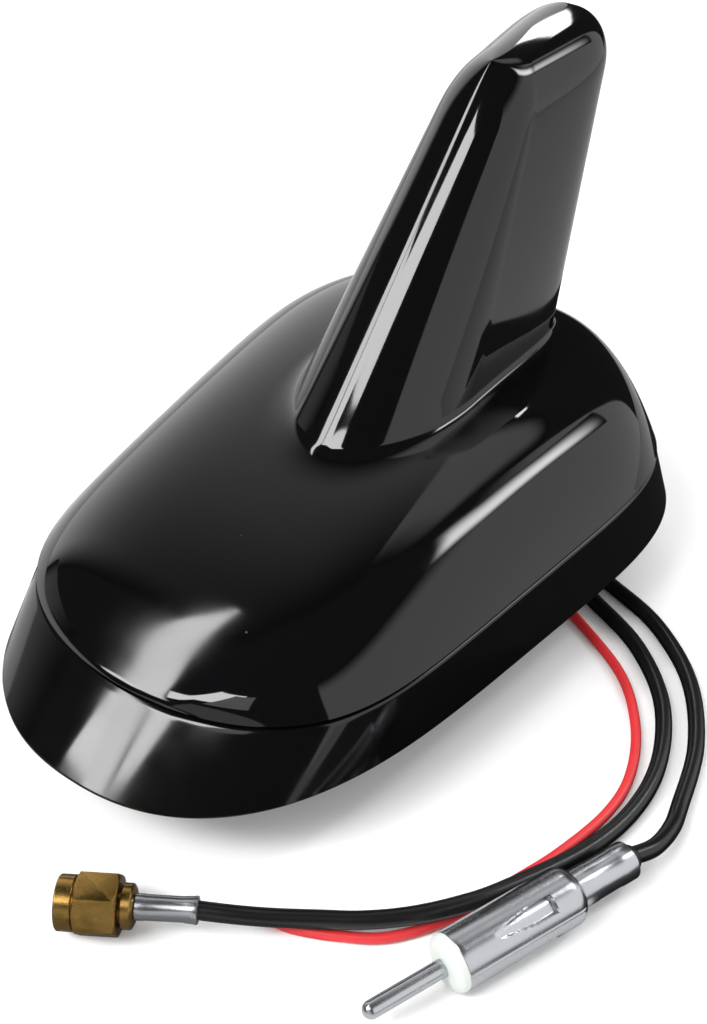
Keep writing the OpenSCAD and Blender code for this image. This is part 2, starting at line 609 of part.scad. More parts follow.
// long plug, drawn along +X from its tip
module on_din() {
  translate(din_tip) rotate([0, 0, din_az]) children();
}
din_shank_d = din_pin_d - 0.7;
barrel_x = din_pin_l + front_l;
sleeve_x = barrel_x + barrel_l;
module din_pin() {
  color([0.8, 0.8, 0.8]) on_din() union() {
    translate([din_pin_d / 2, 0, 0]) sphere(d = din_pin_d, $fn = 24);
    rod(din_pin_d / 2, din_pin_d, din_pin_l - din_pin_d / 2);
    rod(din_pin_l - 0.5, din_shank_d, 5.5);
  }
}
module din_insulator() {
  color([0.93, 0.93, 0.92]) on_din() difference() {
    union() {
      rod(din_pin_l, barrel_d, front_l);
      rod(din_pin_l, barrel_d - 2 * barrel_t, front_l + 9);
    }
    rod(din_pin_l - 1, din_shank_d, 6);
  }
}
module din_barrel() {
  color([0.8, 0.8, 0.81]) on_din() difference() {
    union() {
      rod(barrel_x, barrel_d, barrel_l - 1.4);
      translate([sleeve_x - 1.4, 0, 0]) rotate([0, 90, 0]) cylinder(d1 = barrel_d, d2 = sleeve_d + 0.6, h = 1.4);
    }
    rod(barrel_x - 1, barrel_d - 2 * barrel_t, barrel_l - 0.6);
    rod(barrel_x, sleeve_d - 1.6, barrel_l + 1);
    for (a = [60, 240]) rotate([a, 0, 0]) translate([barrel_x + 11, 0, barrel_d / 2 - 1.2])
      linear_extrude(3) polygon([[0, 0], [4.6, 1.5], [4.6, -1.5]]);
  }
}
module din_sleeve() {
  color([0.8, 0.8, 0.81]) on_din() difference() {
    union() {
      rod(sleeve_x, sleeve_d, sleeve_l);
      rod(sleeve_x - 3, sleeve_d - 1.6, 3);
    }
    rod(sleeve_x + sleeve_l - 5, bush_d, 6);
  }
}
module din_bush() {
  color([0.05, 0.05, 0.05]) on_din() rod(sleeve_x + sleeve_l - 5, bush_d, 5 + bush_l);
}

housing();
skirt_ring();
base_plate();
base_gasket();
roof_stud();
claw_washer();
roof_nut();
case_screws();
circuit_board();
board_screws();
gps_patch();
patch_face();
shield_can();
fin_socket();
fin_board();
fin_track();
coax_sma();
coax_din();
red_wire();
red_wire_end();
sma_nut();
sma_body();
sma_insulator();
sma_pin();
sma_ferrule();
din_pin();
din_insulator();
din_barrel();
din_sleeve();
din_bush();
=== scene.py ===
import math

import bpy
import numpy as np
from mathutils import Matrix, Vector


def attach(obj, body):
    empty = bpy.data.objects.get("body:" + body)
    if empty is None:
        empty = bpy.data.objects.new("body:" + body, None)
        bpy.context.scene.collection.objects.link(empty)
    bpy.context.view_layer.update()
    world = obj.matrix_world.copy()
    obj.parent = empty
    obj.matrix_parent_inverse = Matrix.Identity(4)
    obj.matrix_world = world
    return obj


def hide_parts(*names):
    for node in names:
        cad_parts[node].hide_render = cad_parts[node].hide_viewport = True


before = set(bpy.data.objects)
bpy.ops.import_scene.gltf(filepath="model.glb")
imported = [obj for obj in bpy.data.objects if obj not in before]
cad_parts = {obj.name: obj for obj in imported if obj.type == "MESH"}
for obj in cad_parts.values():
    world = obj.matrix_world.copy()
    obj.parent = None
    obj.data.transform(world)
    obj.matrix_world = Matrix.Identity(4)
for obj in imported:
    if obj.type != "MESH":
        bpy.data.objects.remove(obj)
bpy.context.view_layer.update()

MM = 0.001
AERIAL = "aerial"
NUT = "coupling_nut"


# Camera: 76.4 mm lens on a 36 mm wide film, seen from the nose's right, 40 degrees down

FILM_W = 36.0
IMAGE_W_PX = 707.0
FOCAL_PX = 1500.0
CAMERA_AT = (112.52, -149.30, 174.55)
YAW = math.radians(36.43)
PITCH = math.radians(39.79)
ROLL = 0.0014


def look(place, right, up):
    """Camera at a place in mm, with its right and its up directions in the row frame."""
    data = bpy.data.cameras.new("photo_camera")
    data.sensor_fit = "HORIZONTAL"
    data.sensor_width = FILM_W
    data.lens = FOCAL_PX * FILM_W / IMAGE_W_PX
    data.clip_start = 0.01
    data.clip_end = 50.0
    camera = bpy.data.objects.new("photo_camera", data)
    bpy.context.scene.collection.objects.link(camera)
    r = Vector(right).normalized()
    u = (Vector(up) - r * r.dot(Vector(up))).normalized()
    turn = Matrix((r, u, r.cross(u))).transposed().to_4x4()
    camera.matrix_world = Matrix.Translation(Vector(place) * MM) @ turn
    bpy.context.scene.camera = camera


look(
    CAMERA_AT,
    (math.cos(YAW), math.sin(YAW), ROLL),
    (-math.sin(YAW) * math.sin(PITCH), math.cos(YAW) * math.sin(PITCH), math.cos(PITCH)),
)


# Materials

def lin(code):
    """Linear colour of an sRGB hex value."""
    parts = [int(code[i:i + 2], 16) / 255 for i in (1, 3, 5)]
    return tuple(p / 12.92 if p <= 0.04045 else ((p + 0.055) / 1.055) ** 2.4 for p in parts) + (1.0,)


def add(mat, kind, links=None, **values):
    """One node with its settings and its links from other nodes' sockets."""
    made = mat.node_tree.nodes.new(kind)
    for key, value in values.items():
        if hasattr(made, key):
            setattr(made, key, value)
        else:
            made.inputs[key.replace("_", " ")].default_value = value
    for key, source in (links or {}).items():
        mat.node_tree.links.new(source, made.inputs[key])
    return made


def finish(name, color, roughness, metallic=0.0, **extra):
    """A named material with its Principled shader's own sockets set."""
    mat = bpy.data.materials.new(name)
    mat.use_nodes = True
    shader = mat.node_tree.nodes["Principled BSDF"]
    shader.inputs["Base Color"].default_value = lin(color)
    shader.inputs["Roughness"].default_value = roughness
    shader.inputs["Metallic"].default_value = metallic
    for key, value in extra.items():
        shader.inputs[key.replace("_", " ")].default_value = value
    return mat, shader


def link(mat, source, socket):
    mat.node_tree.links.new(source, socket)


def scale_for(size_mm):
    """Scale of a pattern whose features have this size in mm."""
    return 1000.0 / size_mm


def mottled(mat, shader, patch_mm, low, high, detail=5.0, start=0.3, end=0.7):
    """Roughness that wanders between two values in patches, and the patches themselves."""
    coords = add(mat, "ShaderNodeTexCoord").outputs["Object"]
    cloud = add(mat, "ShaderNodeTexNoise", {"Vector": coords}, Scale=scale_for(patch_mm), Detail=detail)
    rough = add(mat, "ShaderNodeMapRange", {"Value": cloud.outputs["Fac"]},
                From_Min=start, From_Max=end, To_Min=low, To_Max=high)
    link(mat, rough.outputs[0], shader.inputs["Roughness"])
    return cloud.outputs["Fac"]


def grained(mat, shader, grain_mm, strength, deep=0.0001, detail=4.0):
    """Fine relief with grains of a size in mm, its depth in metres."""
    coords = add(mat, "ShaderNodeTexCoord").outputs["Object"]
    grain = add(mat, "ShaderNodeTexNoise", {"Vector": coords}, Scale=scale_for(grain_mm), Detail=detail)
    bump = add(mat, "ShaderNodeBump", {"Height": grain.outputs["Fac"]}, Strength=strength, Distance=deep)
    link(mat, bump.outputs[0], shader.inputs["Normal"])


# ABS, injection moulded in a polished tool: deep black mirror gloss that rubbing hazes in patches
abs_black, shader = finish("abs_polished_moulded_black", "#060607", 0.045, IOR=1.5)
mottled(abs_black, shader, 14.3, 0.035, 0.085, detail=4.0, start=0.35, end=0.75)
# dust grains of about 0.3 mm, at most one in a cell of 6 mm, and only in some patches
coords = add(abs_black, "ShaderNodeTexCoord").outputs["Object"]
cells = add(abs_black, "ShaderNodeTexVoronoi", {"Vector": coords}, Scale=scale_for(6.25))
dust = add(abs_black, "ShaderNodeMapRange", {"Value": cells.outputs["Distance"]},
           From_Min=0.018, From_Max=0.026, To_Min=1.0, To_Max=0.0)
patchy = add(abs_black, "ShaderNodeTexNoise", {"Vector": coords}, Scale=scale_for(16.67), Detail=2.0)
some = add(abs_black, "ShaderNodeMapRange", {"Value": patchy.outputs["Fac"]}, From_Min=0.52, From_Max=0.60)
specks = add(abs_black, "ShaderNodeMath", {0: dust.outputs[0], 1: some.outputs[0]}, operation="MULTIPLY")
tint = add(abs_black, "ShaderNodeMix", {"Factor": specks.outputs[0]}, data_type="RGBA")
tint.inputs[6].default_value = lin("#060607")
tint.inputs[7].default_value = lin("#6a6a6c")
link(abs_black, tint.outputs[2], shader.inputs["Base Color"])

# the same ABS on the skirt: a little more rubbed, so its reflections are softer
abs_skirt, shader = finish("abs_moulded_black_rubbed", "#060607", 0.08, IOR=1.5)
mottled(abs_skirt, shader, 11.1, 0.06, 0.16, start=0.35, end=0.75)

# PVC jacket, extruded: black with a soft sheen and a faint grain
pvc_black, shader = finish("pvc_extruded_black", "#0c0c0d", 0.3, IOR=1.5)
grained(pvc_black, shader, 1.11, 0.12, detail=3.0)

# PVC insulation, extruded: warm red with a soft gloss
pvc_red, shader = finish("pvc_extruded_red", "#c82d31", 0.34, IOR=1.5)
grained(pvc_red, shader, 1.11, 0.1, detail=3.0)

# brass, turned and gold plated: brownish gold, cloudy with handling stains
gold, shader = finish("brass_turned_gold_plated", "#8a6c38", 0.24, 1.0)
stain = mottled(gold, shader, 2.38, 0.16, 0.36, detail=6.0, start=0.0, end=1.0)
tone = add(gold, "ShaderNodeMix", {"Factor": stain}, data_type="RGBA")
tone.inputs[6].default_value = lin("#6a5226")
tone.inputs[7].default_value = lin("#b59152")
link(gold, tone.outputs[2], shader.inputs["Base Color"])

# sheet steel, rolled, crimped and nickel plated: bright, with soft streaks and shallow dents
nickel, shader = finish("sheet_steel_rolled_nickel_plated", "#b9bbbf", 0.16, 1.0)
cloud = mottled(nickel, shader, 3.85, 0.17, 0.34, start=0.0, end=1.0)
dents = add(nickel, "ShaderNodeBump", {"Height": cloud}, Strength=0.10, Distance=0.0002)
link(nickel, dents.outputs[0], shader.inputs["Normal"])

# polyamide, moulded: milky white with a soft gloss
white, shader = finish("polyamide_moulded_white", "#c9cbc5", 0.36, IOR=1.5, Subsurface_Weight=0.1)
mottled(white, shader, 2.0, 0.28, 0.46)

# PTFE, turned: waxy white
ptfe, shader = finish("ptfe_turned_white", "#efeeea", 0.45)
grained(ptfe, shader, 0.667, 0.1)

# rubber, moulded: dull black with a fine grain
rubber, shader = finish("epdm_moulded_black", "#141414", 0.8)
grained(rubber, shader, 0.625, 0.3, deep=0.0002)

# zinc alloy, die cast: grey, grainy and faintly mottled
cast, shader = finish("zinc_die_cast", "#9a9c9f", 0.5, 1.0)
mottled(cast, shader, 8.33, 0.42, 0.6)
grained(cast, shader, 1.43, 0.25, deep=0.0003)

# steel, turned and zinc plated: bluish grey with cloudy gloss
zinc, shader = finish("steel_turned_zinc_plated", "#b9bcc0", 0.3, 1.0)
mottled(zinc, shader, 3.33, 0.22, 0.42)

# FR4 laminate with green solder mask: satin, faintly uneven over the weave
board, shader = finish("fr4_solder_masked_green", "#0f4a2a", 0.35)
grained(board, shader, 0.83, 0.08)

# ceramic, pressed and fired: chalky buff
ceramic, shader = finish("ceramic_fired_buff", "#cbbf9e", 0.55)
grained(ceramic, shader, 1.1, 0.15)

# silver, screen printed and fired: satin with the screen's grain
silver, shader = finish("silver_screen_printed", "#d8d8da", 0.35, 1.0)
grained(silver, shader, 0.71, 0.15)

# tinplate, folded: bright with cloudy patches
tin, shader = finish("tinplate_folded", "#c9cac8", 0.28, 1.0)
mottled(tin, shader, 5.0, 0.2, 0.38)

# nylon, moulded black: fine satin
nylon, shader = finish("nylon_moulded_black", "#121212", 0.45)
grained(nylon, shader, 0.77, 0.12)

# copper, etched: pinkish and slightly uneven
copper, shader = finish("copper_etched", "#c87f55", 0.3, 1.0)
mottled(copper, shader, 3.33, 0.24, 0.42)

# copper strands, tinned and twisted: soft silver
strand, shader = finish("copper_strands_tinned", "#cfcfcf", 0.35, 1.0)
mottled(strand, shader, 1.25, 0.28, 0.45)


def paint(obj, mat):
    obj.data.materials.clear()
    obj.data.materials.append(mat)


# Tools for making pieces

def start_clean():
    if bpy.context.object and bpy.context.object.mode != "OBJECT":
        bpy.ops.object.mode_set(mode="OBJECT")
    bpy.ops.object.select_all(action="DESELECT")


def named(name):
    obj = bpy.context.object
    obj.name = name
    obj.data.name = name
    return obj


def settle(obj):
    """The object goes to the origin, with its place in its mesh."""
    start_clean()
    obj.select_set(True)
    bpy.context.view_layer.objects.active = obj
    bpy.ops.object.transform_apply(location=True, rotation=True, scale=True)


def close_up(obj, merge=1e-6):
    """Merges doubles and turns the faces outwards."""
    start_clean()
    obj.select_set(True)
    bpy.context.view_layer.objects.active = obj
    bpy.ops.object.mode_set(mode="EDIT")
    bpy.ops.mesh.select_all(action="SELECT")
    bpy.ops.mesh.remove_doubles(threshold=merge)
    bpy.ops.mesh.normals_make_consistent(inside=False)
    bpy.ops.object.mode_set(mode="OBJECT")


def smooth(obj, degrees=180.0):
    start_clean()
    obj.select_set(True)
    bpy.context.view_layer.objects.active = obj
    if degrees >= 180.0:
        bpy.ops.object.shade_smooth()
    else:
        bpy.ops.object.shade_smooth_by_angle(angle=math.radians(degrees))


def wrapped(name, rings, ring_shut=False, degrees=180.0):
    """A grid bent round through rings of points in mm, each ring closed on itself."""
    rows, cols = len(rings), len(rings[0])
    start_clean()
    spans = rows if ring_shut else rows - 1
    bpy.ops.mesh.primitive_grid_add(x_subdivisions=cols, y_subdivisions=spans, size=2.0)
    obj = named(name)
    pts = np.asarray(rings, dtype=float) * MM
    flat = np.empty(len(obj.data.vertices) * 3)
    obj.data.vertices.foreach_get("co", flat)
    flat = flat.reshape(-1, 3)
    i = np.rint((flat[:, 0] + 1) / 2 * cols).astype(int) % cols
    j = np.rint((flat[:, 1] + 1) / 2 * spans).astype(int) % rows
    obj.data.vertices.foreach_set("co", pts[j, i].ravel())
    obj.data.update()
    close_up(obj)
    smooth(obj, degrees)
    return obj


def lathed(name, profile, frame_of, steps=48, degrees=35.0, shut=False):
    """A profile of (along, radius) in mm, drawn by extrusion and spun about its axis."""
    start_clean()
    bpy.ops.mesh.primitive_plane_add(size=0.001)
    obj = named(name)
    bpy.ops.object.mode_set(mode="EDIT")
    bpy.ops.mesh.select_all(action="SELECT")
    bpy.ops.mesh.merge(type="CENTER")
    bpy.ops.transform.translate(value=Vector((profile[0][0], profile[0][1], 0)) * MM)
    pts = list(profile) + ([profile[0]] if shut else [])
    for a, b in zip(pts, pts[1:]):
        step = Vector((b[0] - a[0], b[1] - a[1], 0)) * MM
        bpy.ops.mesh.extrude_region_move(TRANSFORM_OT_translate={"value": step})
    bpy.ops.mesh.select_all(action="SELECT")
    bpy.ops.mesh.spin(steps=steps, angle=math.tau, center=(0, 0, 0), axis=(1, 0, 0))
    bpy.ops.object.mode_set(mode="OBJECT")
    close_up(obj)
    smooth(obj, degrees)
    obj.matrix_world = frame_of
    settle(obj)
    return obj


def along(tip, azimuth):
    """The frame of an axis that starts at a tip in mm and runs level at an azimuth."""
    return Matrix.Translation(Vector(tip) * MM) @ Matrix.Rotation(math.radians(azimuth), 4, "Z")


def apply_all(obj):
    start_clean()
    obj.select_set(True)
    bpy.context.view_layer.objects.active = obj
    for mod in list(obj.modifiers):
        bpy.ops.object.modifier_apply(modifier=mod.name)


def placed(obj, mat, slot, body, *nodes):
    """Material, record slot (not used), body and the CAD nodes that a finished piece stands for."""
    paint(obj, mat)
    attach(obj, body)
    if nodes:
        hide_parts(*nodes)
    return obj


# Plug axes and sizes, in mm, as in the part's source

HEX_AF = 8.0
SMA_TIP = (8.4, -74.8, HEX_AF / 2 / math.cos(math.pi / 6))
SMA_AZ = 32.5
RING_L = 2.2
HEX_L = 6.3
PLAY = 0.3
COLLAR_L = 1.6
FERRULE_L = 8.6
SMA_LEN = RING_L + HEX_L + PLAY + COLLAR_L + FERRULE_L
BODY_X = RING_L + HEX_L + PLAY
SHOULDER_X = RING_L + HEX_L - 2
BARREL_D = 8.4
DIN_TIP = (51.2, -63.8, BARREL_D / 2)
DIN_AZ = 69.5
PIN_L = 12.4
FRONT_L = 1.6
BARREL_L = 20.4
SLEEVE_L = 9.6
BUSH_L = 1.2
BARREL_X = PIN_L + FRONT_L
SLEEVE_X = BARREL_X + BARREL_L
DIN_LEN = SLEEVE_X + SLEEVE_L + BUSH_L


def level(azimuth):
    a = math.radians(azimuth)
    return np.array([math.cos(a), math.sin(a), 0.0])


sma_end = np.array(SMA_TIP) + SMA_LEN * level(SMA_AZ)
din_end = np.array(DIN_TIP) + DIN_LEN * level(DIN_AZ)


# Leads: routes in mm as in the part's source, then one smooth line through them

STUD_Y = 12.4
LEAD_AZ = 45.0
BEND_R = 6.4
LEAD_Z = 8.2
BOARD_Z = 18.5
COAX_D = 2.6
WIRE_D = 1.6
COAX_Z = COAX_D / 2
WIRE_Z = WIRE_D / 2
OVER_Z = WIRE_D + COAX_Z + 0.1


def lead_in(side):
    c = np.array([0, STUD_Y, LEAD_Z])
    u = level(LEAD_AZ)
    e = level(LEAD_AZ + 90) * side
    up = np.array([0, 0, 1.0])
    pts = [c + e - 2 * u + (BOARD_Z - LEAD_Z) * up, c + e - 2 * u + (BEND_R + 2.3) * up]
    for deg in (0, 22.5, 45, 67.5, 90):
        a = math.radians(deg)
        pts.append(c + e + (BEND_R * (1 - math.cos(a)) - 2) * u + BEND_R * (1 - math.sin(a)) * up)
    return pts + [c + e + (BEND_R + 0.6) * u]


sma_route = lead_in(-0.6) + [
    (11.5, 21.4, 7.9), (20, 25, 4.6), (30, 25.4, COAX_Z + 0.3), (36, 23.4, COAX_Z), (46.5, 18.2, COAX_Z),
    (55.4, 9.8, COAX_Z), (60.8, -1, COAX_Z), (62.3, -11.6, COAX_Z), (60.4, -22.8, 1.6), (54.9, -36.3, 2.7),
    (51.2, -42.5, OVER_Z), (47, -47.6, OVER_Z), (42.3, -51.9, OVER_Z), (37.7, -55.2, 3.1),
    (32.6, -59, 3.5), (28.4, -62.1, 4.2), sma_end]
din_route = lead_in(2.2) + [
    (9.5, 24, 7.9), (18.5, 28.8, 4.6), (28.5, 30.4, COAX_Z + 0.3), (37, 28.4, COAX_Z), (47, 24.4, COAX_Z),
    (57, 16.2, COAX_Z), (64, 4.6, COAX_Z), (67.6, -8.2, 1.8), (68.6, -13.2, 2.6), (68.5, -18, 3.6), din_end]
red_route = lead_in(-2.9) + [
    (13, 19.6, 7.9), (20.5, 22, 4.4), (28, 21.2, WIRE_Z + 0.4), (35, 18.6, WIRE_Z), (47.2, 11.6, WIRE_Z),
    (54.6, 3, WIRE_Z), (58.6, -6.2, WIRE_Z), (59.3, -14.6, WIRE_Z), (57.4, -24.6, WIRE_Z),
    (54.8, -32.6, WIRE_Z), (51, -43, WIRE_Z), (46, -50.6, WIRE_Z), (40.4, -54.5, WIRE_Z),
    (34.8, -57.2, WIRE_Z), (31.4, -57.9, WIRE_Z)]
RED_FAR = (28.6, -59, WIRE_Z)


def smooth_line(route, per_step=8):
    p = [np.array(q, dtype=float) for q in route]
    out = []
    for i in range(len(p) - 1):
        a, b, c, d = p[max(i - 1, 0)], p[i], p[i + 1], p[min(i + 2, len(p) - 1)]
        for k in range(per_step):
            t = k / per_step
            out.append(0.5 * (2 * b + (c - a) * t + (2 * a - 5 * b + 4 * c - d) * t * t
                              + (3 * b - a - 3 * c + d) * t ** 3))
    return np.array(out + [p[-1]])


def lead(name, route, diameter, mat):
    pts = smooth_line(route) * MM
    data = bpy.data.curves.new(name, "CURVE")
    data.dimensions = "3D"
    data.bevel_depth = diameter * MM / 2
    data.bevel_resolution = 6
    data.use_fill_caps = True
    line = data.splines.new("POLY")
    line.points.add(len(pts) - 1)
    for point, q in zip(line.points, pts):
        point.co = (*q, 1.0)
    line.use_smooth = True
    obj = bpy.data.objects.new(name, data)
    bpy.context.scene.collection.objects.link(obj)
    obj.data.materials.append(mat)
    length = float(np.linalg.norm(np.diff(pts, axis=0), axis=1).sum())
    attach(obj, AERIAL)
    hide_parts(name)
    # the leads stay out of the housing's reflections
    obj.visible_glossy = False
    return obj, length, [float(v) for v in pts[0]]


coax_sma, sma_length, sma_exit = lead("coax_sma", sma_route, COAX_D, pvc_black)
coax_din, din_length, din_exit = lead("coax_din", din_route, COAX_D, pvc_black)
red_wire, red_length, red_exit = lead("red_wire", red_route, WIRE_D, pvc_red)


# Body sizes in mm, as in the part's source

REACH = 6.6
BODY_Y = -REACH / 2
RIM_Z = 12.3
BODY_L = 120.0
BODY_HW = 38.6
NOSE_IN, TAIL_IN, SIDE_IN = 11.5, 3.8, 2.1
SEAM_L = BODY_L - NOSE_IN - TAIL_IN
SEAM_CY = BODY_Y + (NOSE_IN - TAIL_IN) / 2
SEAM_NOSE_H, SEAM_TAIL_H = 9.2, 11.7
GAP_H = 0.7
GAP_D = 0.8
SKIRT_WALL = 2.2
SHELL_WALL = 2.2
SPIGOT_H = 3.0
CROWN_Y = BODY_Y + BODY_L * 0.283
DOME_TOP = RIM_Z + 25.2
RIM_E = (2.26, 3.78, 2.37, 4.33)
SEAM_E = (1.95, 5.44, 2.0, 4.94)
CROWN_E = (1.4, 1.8, 2.54, 9.0)
RIM_TAPER = 0.191
SEAM_TAPER = 0.159
FLANK_E = 5.45
CREASE_E = 1.04


def bulge(q, e):
    """Rounded share of a half width at share q of a half length."""
    wide, far = np.where(q < 0, e[0], e[2]), np.where(q < 0, e[1], e[3])
    return np.clip(1 - np.abs(q) ** far, 0, 1) ** (1 / wide)


def outline(theta, half_width, length, middle, taper, e):
    q = np.sin(theta)
    return half_width * np.sign(np.cos(theta)) * bulge(q, e) * (1 + taper * q), middle + length / 2 * q


def rim(theta, inset):
    return outline(theta, BODY_HW - inset, BODY_L - 2 * inset, BODY_Y, RIM_TAPER, RIM_E)


def seam(theta, inset):
    return outline(theta, BODY_HW - SIDE_IN - inset, SEAM_L - 2 * inset, SEAM_CY, SEAM_TAPER, SEAM_E)


def seam_z(y):
    return RIM_Z + SEAM_NOSE_H + (SEAM_TAIL_H - SEAM_NOSE_H) * ((y - SEAM_CY) / SEAM_L + 0.5)


def seam_row(theta, inset, rise):
    x, y = seam(theta, inset)
    return np.stack([x, y, seam_z(y) + rise], -1)


def dome_z(x, y, inset, drop):
    """Height of the dome over a place in plan, for an outline drawn in and a crown lowered."""
    half = SEAM_L / 2 - inset
    q = np.clip((y - SEAM_CY) / half, -1, 1)
    w = (BODY_HW - SIDE_IN - inset) * bulge(q, SEAM_E) * (1 + SEAM_TAPER * q)
    reach = np.where(y < CROWN_Y, CROWN_Y - SEAM_CY + half, SEAM_CY + half - CROWN_Y)
    v = np.clip((y - CROWN_Y) / reach, -1, 1)
    z = seam_z(y) + GAP_H
    side = np.clip(1 - np.minimum(np.abs(x) / (w + 1e-6), 1) ** FLANK_E, 0, 1) ** CREASE_E
    return z + (DOME_TOP - drop - z) * bulge(v, CROWN_E) * side


def even_angles(count, curve):
    """Angles that space a closed curve's points evenly, starting at the nose."""
    t = np.linspace(0, 1, 2400, endpoint=False)
    quarter = t ** 3 / (t ** 3 + (1 - t) ** 3)
    fine = np.concatenate([quarter - 1, quarter, quarter + 1, quarter + 2, [3.0]]) * math.pi / 2
    x, y = curve(fine)
    way = np.concatenate([[0], np.cumsum(np.hypot(np.diff(x), np.diff(y)))])
    return np.interp(np.linspace(0, way[-1], count, endpoint=False), way, fine)


# Fin sizes in mm, as in the part's source

FOOT_F = np.array([BODY_Y - 2.4, DOME_TOP - 1.2])
FOOT_B = np.array([BODY_Y + BODY_L / 2 - 11.7, DOME_TOP - 0.9])
NECK_B = np.array([BODY_Y + BODY_L / 2 + REACH - 1.45, RIM_Z + 63.2])
NECK_F = np.array([NECK_B[0] - 32.2, RIM_Z + 61.0])
FOOT_HW = 14.0
NECK_HW = 8.0
HEAD_H = 8.0
HEAD_E = 2 / 2.24
FOOT_FLARE, FOOT_MID = 0.07, 0.43
NECK_FLARE, NECK_MID = 0.27, 0.28
FRONT_E, BACK_E = 1.97, 5.44
RIDGE_FRONT, RIDGE_BACK = 0.9, 0.3


def unit(v):
    return v / np.linalg.norm(v, axis=-1)[..., None]


def fin_sec(u, a, b, w, flare, m):
    """Section of the fin between two points of the middle plane, round in front, square behind."""
    s = np.sin(u)
    n = np.where(s < 0, FRONT_E, BACK_E)
    q = np.sign(s) * np.abs(s) ** (2 / n)
    v = m + q * np.where(q < 0, m, 1 - m)
    x = w * np.sign(np.cos(u)) * np.abs(np.cos(u)) ** (2 / n) * (1 + flare * np.maximum(q, 0))
    return np.stack([x, a[0] + (b[0] - a[0]) * v, a[1] + (b[1] - a[1]) * v], -1), v


def fin_wall(u, share, grow):
    """Point of the fin's wall a share of the way from foot to neck."""
    g = np.array([grow, 0.0])
    foot = fin_sec(u, FOOT_F - g, FOOT_B + g, FOOT_HW + grow, FOOT_FLARE, FOOT_MID)[0]
    neck = fin_sec(u, NECK_F - g, NECK_B + g, NECK_HW + grow, NECK_FLARE, NECK_MID)[0]
    return foot + (neck - foot) * np.broadcast_to(share, u.shape)[:, None]


def fin_head(u, t, grow):
    """Point of the rounded head, where the walls bend over into a ridge."""
    g = np.array([grow, 0.0])
    ring, v = fin_sec(u, NECK_F - g, NECK_B + g, NECK_HW + grow, NECK_FLARE, NECK_MID)
    r = HEAD_H + grow
    d = unit(NECK_B - NECK_F)
    n = np.array([-d[1], d[0]])
    lean = unit(NECK_F - FOOT_F)
    a = NECK_F - g + (lean @ d / (lean @ n) * r + RIDGE_FRONT) * d + r * n
    b = NECK_B + g - RIDGE_BACK * d + r * n
    way = unit(fin_wall(u, 1.0, 0.0) - fin_wall(u, 0.0, 0.0))
    top = np.stack([0 * v, a[0] + (b[0] - a[0]) * v, a[1] + (b[1] - a[1]) * v], -1)
    c = top - way * (r / (way[:, 1] * n[0] + way[:, 2] * n[1]))[:, None]
    return c + (ring - c) * math.cos(t) ** HEAD_E + (top - c) * math.sin(t) ** HEAD_E


def shell_rows(inset, drop, grow, spread, climb, columns):
    """Rows of points from the seam over the dome, up the fillet and the fin to its ridge.

    The fillet runs out and climbs by the first value behind the fin and by the second before it.
    """
    u = even_angles(columns, lambda a: tuple(fin_wall(a, 0.1, 0.0)[:, :2].T))
    low, high = np.full(columns, -0.35), np.full(columns, 0.5)
    for _ in range(40):
        mid = (low + high) / 2
        p = fin_wall(u, mid, grow)
        above = p[:, 2] > dome_z(p[:, 0], p[:, 1], inset, drop)
        low, high = np.where(above, low, mid), np.where(above, mid, high)
    share = (low + high) / 2
    foot = fin_wall(u, share, grow)
    run = unit((np.roll(foot, -1, 0) - np.roll(foot, 1, 0))[:, :2])
    out = np.stack([run[:, 1], -run[:, 0]], -1)
    nose = np.clip(-np.sin(u), 0, 1) ** 1.5
    land = foot[:, :2] + out * (spread[0] + (spread[1] - spread[0]) * nose)[:, None]
    landing = np.column_stack([land, dome_z(land[:, 0], land[:, 1], inset, drop)])
    rise = fin_wall(u, share + 0.1, grow) - foot
    wall_share = share + 0.1 * (climb[0] + (climb[1] - climb[0]) * nose) / np.linalg.norm(rise, axis=1)
    wall = fin_wall(u, wall_share, grow)
    theta = even_angles(columns, lambda a: seam(a, inset))
    edge = np.stack(seam(theta, inset), -1)
    rows = []
    for f in np.linspace(0, 1, 64) ** 2.4:
        p = edge + (land - edge) * f
        rows.append(np.column_stack([p, dome_z(p[:, 0], p[:, 1], inset, drop)]))
    for b in np.linspace(0, 1, 11)[1:]:
        rows.append((1 - b) ** 2 * landing + 2 * b * (1 - b) * foot + b * b * wall)
    for k in np.linspace(0, 1, 15)[1:]:
        rows.append(fin_wall(u, wall_share + (1 - wall_share) * k, grow))
    for k in np.linspace(0, 1, 33)[1:]:
        rows.append(fin_head(u, math.pi / 2 * k, grow))
    return rows, theta


# Housing: dome and fin in one skin, with the spigot and the hollow inside

COLUMNS = 272
FILLET_OUT = (1.9, 6.8)
FILLET_UP = (1.6, 2.2)
INNER_FILLET = (1.0, 1.5)
outer, around = shell_rows(0.0, 0.0, 0.0, FILLET_OUT, FILLET_UP, COLUMNS)
inner, inner_around = shell_rows(SKIRT_WALL + 2, SHELL_WALL, -SHELL_WALL, INNER_FILLET, INNER_FILLET, COLUMNS)
spigot = SKIRT_WALL + 0.15
lip = [seam_row(around, spigot, -SPIGOT_H), seam_row(around, spigot, 0.0),
       seam_row(around, GAP_D, 0.02), seam_row(around, GAP_D, GAP_H - 0.12),
       seam_row(around, GAP_D - 0.15, GAP_H), seam_row(around, 0.22, GAP_H),
       seam_row(around, 0.06, GAP_H + 0.06)]
inside = list(reversed(inner)) + [seam_row(inner_around, SKIRT_WALL + 2, -SPIGOT_H)]
housing = wrapped("housing_shell", inside + lip + outer[1:], degrees=50.0)
placed(housing, abs_black, "gloss_black", AERIAL, "housing")


# Skirt: a flared ring with small chamfers at its rim and at the seam

around = even_angles(320, lambda a: rim(a, 0.0))


